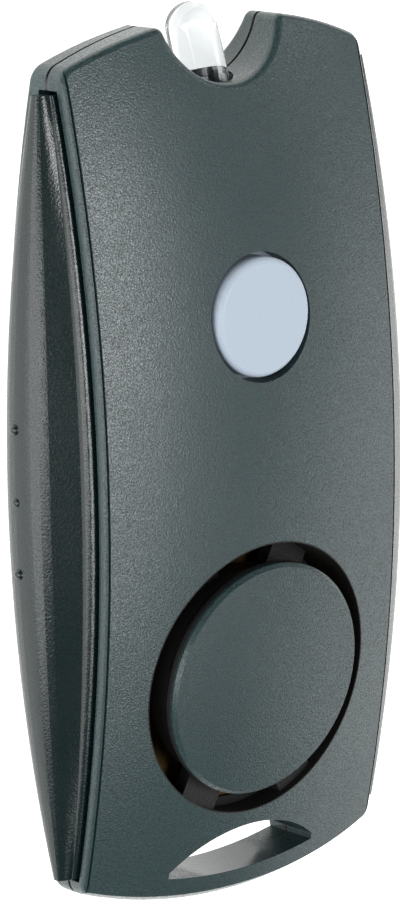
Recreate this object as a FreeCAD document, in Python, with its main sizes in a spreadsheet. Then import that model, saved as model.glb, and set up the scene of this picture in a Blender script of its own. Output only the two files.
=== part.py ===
import FreeCAD, Part
import math
import os
import Sketcher
from FreeCAD import Placement, Rotation, Vector

# Personal panic alarm, lying on its back: X across the width, Y along the length
# with the lamp at +Y, Z out of the front face, and the flat back on Z = 0.

os.makedirs("parts", exist_ok=True)
doc = FreeCAD.newDocument("PanicAlarm")
sheet = doc.addObject("Spreadsheet::Sheet", "Sizes")

# Driving dimensions in millimetres and degrees
measures = [
    # Outer form of the two shells
    ("bodyWidth", 37.0, "width of the shells at the parting line"),
    ("lampEnd", 42.75, "end of the shells beside the lamp, on the centre line"),
    ("ringEnd", 43.2, "end of the shells beside the keyring slot, on the centre line"),
    ("endRadius", 47.0, "arc of the two ends, seen from the front"),
    ("cornerRound", 1.8, "rounding of the four corners, seen from the front"),
    ("noseDrop", 1.7, "how far the ring end slopes back from the parting line to the face"),
    ("noseRound", 6.0, "bulge of the sloping ring end, seen from the side"),
    ("partingHeight", 7.0, "height of the line where the shells meet"),
    ("crestHeight", 16.0, "highest point of the front face"),
    ("bowRadius", 164.6, "bow of the front face along the length"),
    ("crownRadius", 79.4, "crown of the front face across the width"),
    ("backBow", 152.0, "bow of the back along the length"),
    ("backSag", 0.6, "how deep the flat rest is cut into the bowed back"),
    ("wall", 1.4, "wall of both shells"),
    ("edgeRound", 0.7, "rounding of the face's edges"),
    ("seam", 0.15, "bevel of each shell at the parting line"),
    ("borderInset", 0.5, "shadow line from the side of the face"),
    ("borderWidth", 0.22, "width of the shadow line"),
    ("borderDepth", 0.3, "depth of the shadow line"),
    # Side windows and squeeze bars
    ("windowDrop", 3.0, "top of the side window below the crest"),
    ("windowFloor", 1.8, "bottom of the side window at mid-length"),
    ("windowLowerBow", 174.0, "arc of the window's lower edge"),
    ("windowTip", 37.7, "half the length of the side window"),
    ("windowShift", -0.5, "middle of the side window along the length"),
    ("barGap", 0.35, "gap between a bar and its window"),
    ("barNose", 0.66, "radius of a bar's nose, as a share of its half height"),
    ("barSpan", 60.0, "turn of the nose on either side of its tip, degrees"),
    ("barBead", 0.13, "radius of a bar's rounded rim, as a share of its half height"),
    ("barReach", 23.8, "nose of a bar from the middle of the alarm"),
    ("barBow", 203.0, "arc of a bar's nose, seen from the front"),
    ("barShoulder", 18.75, "where a bar's rounded rim begins, from the middle"),
    ("barInner", 17.0, "inner face of a bar from the middle"),
    ("barTravel", 1.0, "squeeze of a bar"),
    ("bumpRadius", 0.55, "radius of a grip bump"),
    ("bumpPitch", 6.85, "spacing of the grip bumps"),
    ("bumpProud", 0.3, "how far a grip bump stands out of the nose"),
    ("postRadius", 1.0, "guide post of a bar"),
    ("postHead", 1.5, "snap head of a guide post"),
    ("postHeadLength", 0.8, "length of a snap head"),
    ("postUpper", 29.0, "guide post near the lamp"),
    ("postLower", -31.0, "guide post near the keyring slot"),
    ("forkInner", 14.6, "inner face of a guide fork from the middle"),
    ("forkThick", 1.2, "thickness of a guide fork"),
    ("forkHalf", 2.4, "half the width of a guide fork"),
    ("forkTop", 9.4, "top of a guide fork"),
    ("runClear", 0.1, "running clearance of posts and buttons"),
    # Siren
    ("sirenY", -20.6, "centre of the siren along the length"),
    ("sirenHole", 13.45, "radius of the siren recess in the face"),
    ("sirenWall", 1.3, "wall of the siren chamber"),
    ("discRadius", 11.6, "radius of the siren disc"),
    ("discProud", 0.35, "disc rim above the face at its centre"),
    ("discDome", 0.75, "rise of the disc's dome"),
    ("discEdge", 1.5, "thickness of the disc at its rim"),
    ("discStep", 0.35, "step under the edge of the disc"),
    ("skirtOuter", 10.6, "outer radius of the disc's skirt"),
    ("skirtWall", 1.2, "wall of the disc's skirt"),
    ("webFloor", 10.2, "underside of the bridges"),
    ("webThick", 1.5, "thickness of the bridges"),
    ("webWidth", 4.4, "width of a bridge"),
    ("webAngle", 62.0, "angle of a bridge from the width"),
    ("ledgeHeight", 9.0, "underside of the ledge that seats the sounder plate"),
    ("ledgeThick", 0.6, "thickness of the ledge"),
    ("ledgeInset", 0.85, "reach of the ledge into the chamber"),
    ("plateRadius", 13.5, "radius of the brass sounder plate"),
    ("plateThick", 0.25, "thickness of the brass sounder plate"),
    ("plateClear", 0.1, "clearance around the sounder plate"),
    ("ceramicRadius", 9.8, "radius of the ceramic disc"),
    ("ceramicThick", 0.25, "thickness of the ceramic disc"),
    ("clampWidth", 1.3, "radial width of the clamp ring"),
    ("clampThick", 1.2, "height of the clamp ring"),
    # Lamp button
    ("buttonY", 14.65, "centre of the lamp button"),
    ("buttonHole", 6.15, "radius of the button's hole"),
    ("buttonRadius", 5.7, "radius of the button"),
    ("buttonProud", 0.35, "button above the face at its centre"),
    ("buttonRound", 0.6, "rounding of the button's edge"),
    ("buttonDepth", 2.2, "height of the button's cap"),
    ("buttonFlange", 0.8, "reach of the flange beyond the hole"),
    ("flangeThick", 0.7, "thickness of the flange"),
    ("buttonTravel", 0.3, "press of the button"),
    ("bossWall", 1.1, "wall of the collar around the button's hole"),
    # Lamp and its notch
    ("notchRadius", 7.2, "radius of the lamp notch"),
    ("notchY", 43.6, "centre of the lamp notch"),
    ("notchRound", 0.9, "rounding of the notch's mouth"),
    ("lampRadius", 2.5, "radius of the lamp, a standard 5 mm light"),
    ("lampFlange", 2.8, "radius of the lamp's flange"),
    ("flangeHeight", 1.0, "height of the lamp's flange"),
    ("lampBarrel", 6.1, "lamp from its base to the centre of its dome"),
    ("lampTilt", 17.0, "lamp tilts to the back by this angle, degrees"),
    ("lampDomeY", 41.2, "centre of the lamp's dome along the length"),
    ("lampDomeZ", 5.9, "centre of the lamp's dome above the back"),
    ("lampClear", 0.1, "clearance around the lamp's flange"),
    ("leadWidth", 0.5, "side of a lamp lead"),
    ("leadPitch", 2.54, "spacing of the lamp leads"),
    # Keyring slot
    ("slotHalf", 9.2, "half the length of the keyring slot"),
    ("slotTop", -35.6, "upper edge of the slot on the centre line"),
    ("slotBottom", -40.3, "lower edge of the slot on the centre line"),
    ("slotTip", -39.2, "where the slot's two arcs meet"),
    ("slotUpperArc", 13.6, "arc of the slot's upper edge"),
    ("slotLowerArc", 38.5, "arc of the slot's lower edge"),
    ("slotWall", 1.2, "wall around the slot"),
    # Screws
    ("screwX", 12.9, "case screws from the middle"),
    ("screwUpper", 34.6, "case screws near the lamp"),
    ("screwLower", -36.8, "case screws near the slot"),
    ("bossRadius", 2.2, "screw boss"),
    ("screwRadius", 0.95, "shank of a case screw"),
    ("screwHead", 1.75, "head radius of a case screw"),
    ("screwHeadThick", 1.1, "head height of a case screw"),
    ("screwGrip", 2.6, "case screw above the parting line"),
    ("screwSink", 0.5, "head below the back"),
    ("screwClear", 0.1, "clearance around a screw"),
    ("driverSlot", 0.5, "width of the cross in a screw's head"),
    # Battery bay
    ("cellRadius", 5.8, "radius of a button cell"),
    ("cellThick", 5.4, "thickness of a button cell"),
    ("cellClear", 0.25, "clearance around the cells"),
    ("cellShift", 0.4, "cells' axis from the middle, towards the lamp"),
    ("bayLength", 20.4, "battery bay across the alarm"),
    ("bayWall", 1.1, "wall of the battery bay"),
    ("bayTop", 10.5, "top of the battery bay's walls"),
    ("bayLow", 6.8, "top of the bay's wall beside the siren chamber"),
    ("coverLength", 26.9, "battery cover across the alarm"),
    ("coverShift", 1.55, "battery cover's middle towards its screw"),
    ("coverWidth", 15.6, "battery cover along the alarm"),
    ("coverThick", 1.2, "thickness of the battery cover"),
    ("coverCorner", 1.6, "corner radius of the battery cover"),
    ("coverGap", 0.15, "gap around the battery cover"),
    ("coverLedge", 1.2, "floor around the cover's recess, above the cover"),
    ("coverBorder", 0.6, "reach of that floor around the recess"),
    ("coverScrewX", 12.7, "cover screw from the middle"),
    ("contactThick", 0.3, "sheet of the battery contacts"),
    ("contactWidth", 7.0, "width of a battery contact"),
    ("springSheet", 0.3, "sheet of the battery spring"),
    ("springWidth", 4.0, "width of the battery spring"),
    ("springHalf", 3.6, "half the length of the battery spring"),
    # Circuit board and what it carries
    ("boardThick", 1.0, "thickness of the circuit board"),
    ("boardTop", 6.2, "top of the circuit board"),
    ("boardHalf", 11.6, "half the width of the circuit board"),
    ("boardLower", 8.0, "lower edge of the circuit board"),
    ("boardUpper", 33.4, "upper edge of the circuit board"),
    ("pillarRadius", 1.5, "pillar that carries the board"),
    ("switchSize", 6.0, "side of the tact switch"),
    ("switchHeight", 3.5, "height of the tact switch's case"),
    ("plungerRadius", 1.7, "plunger of the tact switch"),
    ("plungerHeight", 0.9, "plunger above the switch's case"),
    ("coilRadius", 3.0, "boost coil"),
    ("coilHeight", 3.6, "height of the boost coil"),
    ("coilX", -7.2, "boost coil from the middle"),
    ("coilY", 27.5, "boost coil along the length"),
    ("leafThick", 0.2, "strip of a contact leaf"),
    ("leafHeight", 3.0, "width of a contact leaf's strip"),
    ("leafSpan", 13.0, "length of a contact leaf"),
    ("leafStart", 10.0, "lower end of a contact leaf"),
    ("leafFoot", 13.2, "contact leaf's ends from the middle"),
    ("wireRadius", 0.4, "sounder lead"),
    ("wireLane", 12.0, "where the sounder leads pass the battery bay"),
]

for row, (alias, value, note) in enumerate(measures, start=1):
    sheet.set("A%d" % row, note)
    sheet.set("B%d" % row, "%g" % value)
    sheet.setAlias("B%d" % row, alias)
doc.recompute()


class Size:
    """A length with its number and the spreadsheet text that gives it."""

    def __init__(self, value, text):
        self.value = value
        self.text = text

    def __add__(self, other):
        other = asSize(other)
        return Size(self.value + other.value, "(%s + %s)" % (self.text, other.text))

    def __sub__(self, other):
        other = asSize(other)
        return Size(self.value - other.value, "(%s - %s)" % (self.text, other.text))

    def __mul__(self, other):
        other = asSize(other)
        return Size(self.value * other.value, "(%s * %s)" % (self.text, other.text))

    def __truediv__(self, other):
        other = asSize(other)
        return Size(self.value / other.value, "(%s / %s)" % (self.text, other.text))

    def __radd__(self, other):
        return asSize(other) + self

    def __rsub__(self, other):
        return asSize(other) - self

    def __rmul__(self, other):
        return asSize(other) * self

    def __neg__(self):
        return Size(-self.value, "(0 - %s)" % self.text)


def asSize(number):
    if isinstance(number, Size):
        return number
    return Size(float(number), "(%.9f)" % number)


def root(size):
    return Size(math.sqrt(size.value), "sqrt(%s)" % size.text)


class Dimensions:
    """The spreadsheet's cells as attributes."""


dim = Dimensions()
for alias, value, note in measures:
    setattr(dim, alias, Size(float(sheet.get(alias)), "Sizes." + alias))


def bind(feature, prop, size):
    """Set a property and tie it to the spreadsheet."""
    size = asSize(size)
    feature.setExpression(prop, size.text)


def sagitta(radius, half):
    """How far an arc of this radius falls from its crest at half a chord."""
    return radius - root(radius * radius - half * half)


# Helpers for bodies and sketches
def newBody(label):
    body = doc.addObject("PartDesign::Body", label)
    body.Label = label
    return body


def originPlane(body, role):
    for feature in body.Origin.OriginFeatures:
        if feature.Role == role:
            return feature


def newSketch(body, name, role="XY_Plane", height=None, axisHeight=None):
    """Sketch on an origin plane, raised by height, or shifted up in its own plane."""
    sketch = body.newObject("Sketcher::SketchObject", name)
    sketch.AttachmentSupport = [(originPlane(body, role), "")]
    sketch.MapMode = "FlatFace"
    if height is not None:
        bind(sketch, "AttachmentOffset.Base.z", height)
    if axisHeight is not None:
        bind(sketch, "AttachmentOffset.Base.y", axisHeight)
    return sketch


def fixPoint(sketch, geometry, position, x, y):
    """Place a point of the sketch by its two distances from the origin."""
    for kind, size in (("DistanceX", x), ("DistanceY", y)):
        size = asSize(size)
        constraint = Sketcher.Constraint(kind, -1, 1, geometry, position, size.value)
        index = sketch.addConstraint(constraint)
        if "Sizes" in size.text:
            sketch.setExpression("Constraints[%d]" % index, size.text)


def fixRadius(sketch, geometry, radius):
    radius = asSize(radius)
    index = sketch.addConstraint(Sketcher.Constraint("Radius", geometry, radius.value))
    if "Sizes" in radius.text:
        sketch.setExpression("Constraints[%d]" % index, radius.text)


def circle(sketch, x, y, radius):
    x, y, radius = asSize(x), asSize(y), asSize(radius)
    shape = Part.Circle(Vector(x.value, y.value, 0), Vector(0, 0, 1), radius.value)
    geometry = sketch.addGeometry(shape, False)
    fixPoint(sketch, geometry, 3, x, y)
    fixRadius(sketch, geometry, radius)


def outline(sketch, corners, bends=None):
    """Closed outline through the corners. An edge in bends is an arc: (radius, side),
    where side 1 bulges to the left of the way round and side -1 to the right."""
    bends = bends or {}
    corners = [(asSize(x), asSize(y)) for x, y in corners]
    count = len(corners)
    ends = []
    for i in range(count):
        here, there = corners[i], corners[(i + 1) % count]
        a = Vector(here[0].value, here[1].value, 0)
        b = Vector(there[0].value, there[1].value, 0)
        if i not in bends:
            geometry = sketch.addGeometry(Part.LineSegment(a, b), False)
            ends.append((geometry, 1, 2))
            continue
        radius, side = bends[i]
        radius = asSize(radius)
        half = (b - a).Length / 2
        left = Vector(a.y - b.y, b.x - a.x, 0).normalize()
        centre = (a + b) / 2 - left * side * math.sqrt(max(radius.value ** 2 - half ** 2, 0))
        full = Part.Circle(centre, Vector(0, 0, 1), radius.value)
        angleA = math.atan2(a.y - centre.y, a.x - centre.x)
        angleB = math.atan2(b.y - centre.y, b.x - centre.x)
        if side < 0:
            geometry = sketch.addGeometry(Part.ArcOfCircle(full, angleA, angleB), False)
            ends.append((geometry, 1, 2))
        else:
            geometry = sketch.addGeometry(Part.ArcOfCircle(full, angleB, angleA), False)
            ends.append((geometry, 2, 1))
    for i in range(count):
        before, here = ends[i - 1], ends[i]
        join = Sketcher.Constraint("Coincident", before[0], before[2], here[0], here[1])
        sketch.addConstraint(join)
        fixPoint(sketch, here[0], here[1], corners[i][0], corners[i][1])
    for i, (radius, side) in bends.items():
        fixRadius(sketch, ends[i][0], radius)


def rectangle(sketch, x0, x1, y0, y1):
    outline(sketch, [(x0, y0), (x1, y0), (x1, y1), (x0, y1)])


def roundedRectangle(sketch, x0, x1, y0, y1, corner):
    corners = [
        (x0 + corner, y0), (x1 - corner, y0), (x1, y0 + corner), (x1, y1 - corner),
        (x1 - corner, y1), (x0 + corner, y1), (x0, y1 - corner), (x0, y0 + corner),
    ]
    outline(sketch, corners, {i: (corner, -1) for i in (1, 3, 5, 7)})


def pad(body, name, sketch, length, reverse=False, symmetric=False):
    feature = body.newObject("PartDesign::Pad", name)
    feature.Profile = sketch
    feature.Reversed = reverse
    if symmetric:
        feature.SideType = "Symmetric"
    bind(feature, "Length", length)
    body.Tip = feature
    return feature


def pocket(body, name, sketch, length, reverse=False, symmetric=False):
    feature = body.newObject("PartDesign::Pocket", name)
    feature.Profile = sketch
    feature.Reversed = reverse
    if symmetric:
        feature.SideType = "Symmetric"
    bind(feature, "Length", length)
    body.Tip = feature
    return feature


def revolve(body, name, sketch, axis, kind="PartDesign::Revolution", angle=360.0):
    """Turn a sketch about one of its own axes, H_Axis or V_Axis."""
    feature = body.newObject(kind, name)
    feature.Profile = sketch
    feature.ReferenceAxis = (sketch, [axis])
    feature.Midplane = True
    feature.Angle = angle
    body.Tip = feature
    return feature


def fillet(body, name, base, edges, radius):
    feature = body.newObject("PartDesign::Fillet", name)
    feature.Base = (base, edges)
    bind(feature, "Radius", radius)
    body.Tip = feature
    return feature


def chamfer(body, name, base, edges, size):
    feature = body.newObject("PartDesign::Chamfer", name)
    feature.Base = (base, edges)
    bind(feature, "Size", size)
    body.Tip = feature
    return feature


def edgesWhere(feature, test):
    """Names of the feature's edges that pass the test."""
    doc.recompute()
    names = []
    for i, edge in enumerate(feature.Shape.Edges, start=1):
        if test(edge):
            names.append("Edge%d" % i)
    return names


def planOutline(sketch, inset):
    """Shell seen from the front: straight sides, arched ends and rounded corners."""
    half = dim.bodyWidth / 2 - inset
    arc = dim.endRadius - inset
    turn = dim.cornerRound - inset
    upper = dim.lampEnd - dim.endRadius
    lower = dim.endRadius - dim.ringEnd
    cornerX = half - turn
    rise = root((arc - turn) * (arc - turn) - cornerX * cornerX)
    share = arc / (arc - turn)
    arcX = cornerX * share
    arcY = rise * share
    corners = [
        (-arcX, lower - arcY), (arcX, lower - arcY), (half, lower - rise), (half, upper + rise),
        (arcX, upper + arcY), (-arcX, upper + arcY), (-half, upper + rise), (-half, lower - rise),
    ]
    bends = {edge: (turn, -1) for edge in (1, 3, 5, 7)}
    bends[0] = (arc, -1)
    bends[4] = (arc, -1)
    outline(sketch, corners, bends)


def slotOutline(sketch, grow):
    """Keyring slot: two arcs that meet at its tips."""
    half = dim.slotHalf + grow
    upper = dim.slotTop + grow
    lower = dim.slotBottom - grow
    tipHigh = dim.slotTip + 0.3
    tipLow = dim.slotTip - 0.3
    corners = [(-half, tipLow), (half, tipLow), (half, tipHigh), (-half, tipHigh)]
    riseLow = tipLow - lower
    riseHigh = upper - tipHigh
    arcLow = (half * half + riseLow * riseLow) / (2 * riseLow)
    arcHigh = (half * half + riseHigh * riseHigh) / (2 * riseHigh)
    outline(sketch, corners, {0: (arcLow, -1), 2: (arcHigh, -1)})


windowArc = dim.bowRadius - dim.windowDrop


def windowTop(y):
    """Height of the window's upper edge at y from its middle, parallel to the edge of the face."""
    return dim.crestHeight - dim.windowDrop - sagitta(windowArc, y)


def windowBottom(y):
    return dim.windowFloor + sagitta(dim.windowLowerBow, y)


def windowOutline(sketch, inset):
    """Lens-shaped side window, drawn in Y and Z."""
    first = dim.windowShift - dim.windowTip + inset
    last = dim.windowShift + dim.windowTip - inset
    high = windowTop(dim.windowTip) - inset
    low = windowBottom(dim.windowTip) + inset
    corners = [(first, low), (last, low), (last, high), (first, high)]
    outline(sketch, corners, {0: (dim.windowLowerBow - inset, -1), 2: (windowArc - inset, -1)})


def crownCut(body, name, radius, crown, above):
    """Cut away all that lies above the bowed and crowned face."""
    sketch = newSketch(body, name + "Profile", "XZ_Plane",
                       axisHeight=dim.crestHeight - dim.bowRadius)
    half = dim.bodyWidth / 2 + 3
    edge = radius - sagitta(crown, half)
    corners = [(-half, edge), (half, edge), (half, radius + above), (-half, radius + above)]
    outline(sketch, corners, {0: (crown, 1)})
    return revolve(body, name, sketch, "H_Axis", "PartDesign::Groove", 36.0)


def backCut(body, name, inset):
    """Cut away all that lies below the bowed back."""
    sketch = newSketch(body, name + "Profile", "YZ_Plane")
    half = dim.ringEnd + 3
    radius = dim.backBow - inset
    crest = inset - dim.backSag
    edge = crest + sagitta(radius, half)
    corners = [(-half, -4), (half, -4), (half, edge), (-half, edge)]
    outline(sketch, corners, {2: (radius, 1)})
    return pocket(body, name, sketch, dim.bodyWidth + 8, symmetric=True)


bosses = [(side, y) for y in (dim.screwUpper, dim.screwLower) for side in (-1, 1)]


def bossCircles(sketch, radius):
    for side, y in bosses:
        circle(sketch, side * dim.screwX, y, radius)


def notchArc(sketch, grow):
    circle(sketch, 0, dim.notchY, dim.notchRadius + grow)


def notchOutline(sketch):
    """Lamp notch, its mouth rounded tangent to the notch and to the end of the shell."""
    turn = dim.notchRound
    endY = dim.lampEnd - dim.endRadius
    far = dim.endRadius - turn
    near = dim.notchRadius + turn
    centreY = (far * far - near * near + dim.notchY * dim.notchY - endY * endY) / (2 * (dim.notchY - endY))
    drop = dim.notchY - centreY
    centreX = root(near * near - drop * drop)
    mouthX = centreX * dim.endRadius / far
    mouthY = endY + (centreY - endY) * dim.endRadius / far
    throatX = centreX * dim.notchRadius / near
    throatY = dim.notchY - drop * dim.notchRadius / near
    top = dim.lampEnd + 3
    corners = [(-throatX, throatY), (throatX, throatY), (mouthX, mouthY), (mouthX, top),
               (-mouthX, top), (-mouthX, mouthY)]
    outline(sketch, corners, {0: (dim.notchRadius, -1), 1: (turn, 1), 5: (turn, 1)})


def cutLampSeat(body, name):
    """Round seat of the lamp, tilted like the lamp, through the wall of the notch."""
    seat = body.newObject("PartDesign::SubtractiveCylinder", name)
    bind(seat, "Radius", dim.lampFlange + dim.lampClear)
    bind(seat, "Height", dim.lampBarrel + 0.5)
    seat.AttachmentSupport = [(originPlane(body, "XY_Plane"), "")]
    seat.MapMode = "FlatFace"
    lean = Rotation(Vector(1, 0, 0), 90 - dim.lampTilt.value)
    seat.AttachmentOffset = Placement(Vector(0, 0, 0), lean)
    bind(seat, "AttachmentOffset.Base.y", dim.lampDomeY)
    bind(seat, "AttachmentOffset.Base.z", dim.lampDomeZ)
    bind(seat, "AttachmentOffset.Rotation.Angle", 90 - dim.lampTilt)
    body.Tip = seat
    return seat


# Front shell: the core that hollows it
chamberOuter = dim.sirenHole + dim.sirenWall
collarOuter = dim.buttonHole + dim.bossWall


def hollowCore(label, height, length, reverse=False):
    """Inside of a shell, with the chamber, collar, slot, notch and bosses left solid."""
    core = newBody(label)
    sketch = newSketch(core, label + "Outline", height=height)
    planOutline(sketch, dim.wall)
    base = pad(core, label + "Block", sketch, length, reverse=reverse)
    islands = newSketch(core, label + "Islands", height=height)
    slotOutline(islands, dim.slotWall)
    pocket(core, label + "SlotWall", islands, length, reverse=not reverse)
    notch = newSketch(core, label + "NotchWall", height=height)
    notchArc(notch, dim.slotWall)
    pocket(core, label + "NotchCut", notch, length, reverse=not reverse)
    screws = newSketch(core, label + "BossCircles", height=height)
    bossCircles(screws, dim.bossRadius)
    pocket(core, label + "BossCut", screws, length, reverse=not reverse)
    return core


frontRise = dim.crestHeight - dim.partingHeight + 1
frontCore = hollowCore("front_core", dim.partingHeight, frontRise)
ring = newSketch(frontCore, "ChamberRing", height=dim.partingHeight)
circle(ring, 0, dim.sirenY, chamberOuter)
pocket(frontCore, "ChamberCut", ring, frontRise, reverse=True)
collar = newSketch(frontCore, "CollarRing", height=dim.crestHeight - 3.2)
circle(collar, 0, dim.buttonY, collarOuter)
pocket(frontCore, "CollarCut", collar, 5, reverse=True)
crownCut(frontCore, "FrontCoreCrown", dim.bowRadius - dim.wall, dim.crownRadius - dim.wall, 12)

# Front shell
front = newBody("front_shell")
frontPlan = newSketch(front, "FrontPlan", height=dim.partingHeight)
planOutline(frontPlan, 0)
frontBlank = pad(front, "FrontBlank", frontPlan, frontRise)
frontNotch = newSketch(front, "FrontNotch", height=dim.partingHeight - 1)
notchOutline(frontNotch)
pocket(front, "FrontNotchCut", frontNotch, frontRise + 2, reverse=True)
frontFace = crownCut(front, "FrontFace", dim.bowRadius, dim.crownRadius, 12)


def atSeam(edge):
    return all(abs(vertex.Z - dim.partingHeight.value) < 0.01 for vertex in edge.Vertexes)


def onFace(edge):
    """Edges round the front face: all their points lie well above the parting line."""
    low = min(vertex.Z for vertex in edge.Vertexes)
    return low > dim.partingHeight.value + 1.0


frontRim = fillet(front, "FrontRim", frontFace, edgesWhere(frontFace, onFace), dim.edgeRound)
chamfer(front, "FrontSeam", frontRim, edgesWhere(frontRim, atSeam), dim.seam)

# The ring end slopes back in a soft curve from the parting line to the face
noseTop = dim.crestHeight - sagitta(dim.bowRadius, dim.ringEnd - dim.noseDrop) + 0.4
nose = newSketch(front, "RingEndProfile", "YZ_Plane")
bind(nose, "AttachmentOffset.Base.x", dim.endRadius - dim.ringEnd)
outline(nose, [
    (-dim.endRadius, dim.partingHeight + dim.seam), (-dim.endRadius + dim.noseDrop, noseTop),
    (-dim.endRadius + dim.noseDrop, noseTop + 3), (-dim.endRadius - 4, noseTop + 3),
    (-dim.endRadius - 4, dim.partingHeight + dim.seam),
], {0: (dim.noseRound, 1)})
revolve(front, "RingEnd", nose, "V_Axis", "PartDesign::Groove", 70.0)

line = newSketch(front, "BorderProfile", "XZ_Plane", axisHeight=dim.crestHeight - dim.bowRadius)
for side in (-1, 1):
    middle = side * (dim.bodyWidth / 2 - dim.borderInset)
    face = dim.bowRadius - sagitta(dim.crownRadius, dim.bodyWidth / 2 - dim.borderInset)
    rectangle(line, middle - dim.borderWidth / 2, middle + dim.borderWidth / 2,
              face - dim.borderDepth, face + 2)
revolve(front, "BorderLine", line, "H_Axis", "PartDesign::Groove", 36.0)

hollow = front.newObject("PartDesign::Boolean", "FrontHollow")
hollow.setObjects([frontCore])
hollow.Type = "Cut"
front.Tip = hollow

sideCut = dim.bodyWidth / 2 - dim.barInner + 0.8
for side in (-1, 1):
    name = "Left" if side < 0 else "Right"
    sketch = newSketch(front, "FrontWindow" + name, "YZ_Plane", height=side * (dim.barInner - 0.4))
    windowOutline(sketch, 0)
    pocket(front, "FrontWindowCut" + name, sketch, sideCut + 1, reverse=side > 0)

cutLampSeat(front, "FrontLampSeat")

slot = newSketch(front, "FrontSlot", height=dim.partingHeight - 1)
slotOutline(slot, 0)
pocket(front, "FrontSlotCut", slot, frontRise + 2, reverse=True)

buttonBore = newSketch(front, "ButtonBore", height=dim.partingHeight)
circle(buttonBore, 0, dim.buttonY, dim.buttonHole)
pocket(front, "ButtonBoreCut", buttonBore, frontRise, reverse=True)

bore = newSketch(front, "ChamberBore", height=dim.ledgeHeight)
circle(bore, 0, dim.sirenY, dim.sirenHole - dim.ledgeInset)
pocket(front, "ChamberBoreCut", bore, frontRise, reverse=True)
recess = newSketch(front, "ChamberRecess", height=dim.ledgeHeight + dim.ledgeThick)
circle(recess, 0, dim.sirenY, dim.sirenHole)
pocket(front, "ChamberRecessCut", recess, frontRise, reverse=True)
seat = newSketch(front, "PlateSeat", height=dim.partingHeight)
circle(seat, 0, dim.sirenY, dim.plateRadius + dim.plateClear)
pocket(front, "PlateSeatCut", seat, dim.ledgeHeight - dim.partingHeight, reverse=True)
screwHoles = newSketch(front, "FrontScrewHoles", height=dim.partingHeight)
bossCircles(screwHoles, dim.screwRadius + dim.screwClear / 2)
pocket(front, "FrontScrewCut", screwHoles, dim.screwGrip + 0.3, reverse=True)

# Siren disc on its four bridges, moulded with the front shell
discZ = dim.crestHeight - sagitta(dim.bowRadius, dim.sirenY) + dim.discProud
discLean = math.degrees(math.asin(-dim.sirenY.value / dim.bowRadius.value))
skirtRing = newSketch(front, "SkirtRing", height=dim.webFloor)
circle(skirtRing, 0, dim.sirenY, dim.skirtOuter)
circle(skirtRing, 0, dim.sirenY, dim.skirtOuter - dim.skirtWall)
skirt = pad(front, "Skirt", skirtRing, discZ - dim.webFloor - 2.2)

bridgePlan = newSketch(front, "BridgePlan", height=dim.webFloor)
inner = dim.skirtOuter - dim.skirtWall / 2
outer = dim.sirenHole + dim.sirenWall / 2
slant = math.radians(dim.webAngle.value)
for angle in (slant, math.pi - slant, math.pi + slant, -slant):
    along = (math.cos(angle), math.sin(angle))
    across = (-along[1], along[0])
    half = dim.webWidth / 2
    corners = []
    for reach, shift in ((inner, -1), (outer, -1), (outer, 1), (inner, 1)):
        x = reach * along[0] + half * across[0] * shift
        y = reach * along[1] + half * across[1] * shift + dim.sirenY
        corners.append((x, y))
    outline(bridgePlan, corners)
pad(front, "Bridges", bridgePlan, dim.webThick)

# Disc profile from its axis outwards, leaning with the face below it
discProfile = newSketch(front, "DiscProfile", "YZ_Plane")
discProfile.AttachmentOffset = Placement(Vector(0, 0, 0), Rotation(Vector(0, 0, 1), discLean))
bind(discProfile, "AttachmentOffset.Base.x", dim.sirenY)
bind(discProfile, "AttachmentOffset.Base.y", discZ)
rim = dim.discRadius
flat = rim - dim.discStep
domeArc = (flat * flat + dim.discDome * dim.discDome) / (2 * dim.discDome)
outline(discProfile, [
    (0, -dim.discEdge - 1.3), (dim.skirtOuter - 0.4, -dim.discEdge - 1.3),
    (dim.skirtOuter - 0.4, -dim.discEdge), (rim - dim.discStep, -dim.discEdge),
    (rim, -dim.discEdge + dim.discStep), (rim, -dim.discStep), (rim - dim.discStep, 0), (0, dim.discDome),
], {6: (domeArc, -1)})
revolve(front, "SirenDisc", discProfile, "V_Axis")

# Back shell
backCore = hollowCore("back_core", dim.partingHeight, dim.partingHeight + 1, reverse=True)
bayHalfX = dim.bayLength / 2
bayHalfY = dim.cellRadius + dim.cellClear
bayLower = dim.cellShift - bayHalfY
bayUpper = dim.cellShift + bayHalfY
coverX0 = dim.coverShift - dim.coverLength / 2
coverX1 = dim.coverShift + dim.coverLength / 2
bayBlock = newSketch(backCore, "BayBlock", height=dim.partingHeight)
rectangle(bayBlock, -bayHalfX - dim.bayWall, bayHalfX + dim.bayWall,
          bayLower - dim.bayWall, bayUpper + dim.bayWall)
pocket(backCore, "BayBlockCut", bayBlock, dim.partingHeight + 1)
boss = newSketch(backCore, "CoverBoss", height=dim.partingHeight)
circle(boss, dim.coverScrewX, 0, dim.bossRadius)
pocket(backCore, "CoverBossCut", boss, dim.partingHeight + 1)
backCut(backCore, "BackCoreBow", dim.wall)
floorSlab = newSketch(backCore, "FloorSlab", height=-1)
rectangle(floorSlab, -dim.bodyWidth, dim.bodyWidth, -dim.ringEnd - 2, dim.lampEnd + 2)
pocket(backCore, "FloorSlabCut", floorSlab, dim.wall + 1, reverse=True)
ledge = newSketch(backCore, "CoverLedge", height=-1)
border = dim.coverGap + dim.coverBorder
rectangle(ledge, coverX0 - border, coverX1 + border, -dim.coverWidth / 2 - border,
          dim.coverWidth / 2 + border)
pocket(backCore, "CoverLedgeCut", ledge, dim.coverThick + dim.coverLedge + 1, reverse=True)

back = newBody("back_shell")
backPlan = newSketch(back, "BackPlan", height=dim.partingHeight)
planOutline(backPlan, 0)
backBlank = pad(back, "BackBlank", backPlan, dim.partingHeight, reverse=True)
backNotch = newSketch(back, "BackNotch", height=-1)
notchOutline(backNotch)
pocket(back, "BackNotchCut", backNotch, dim.partingHeight + 2, reverse=True)
backFace = backCut(back, "BackBow", 0)


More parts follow.
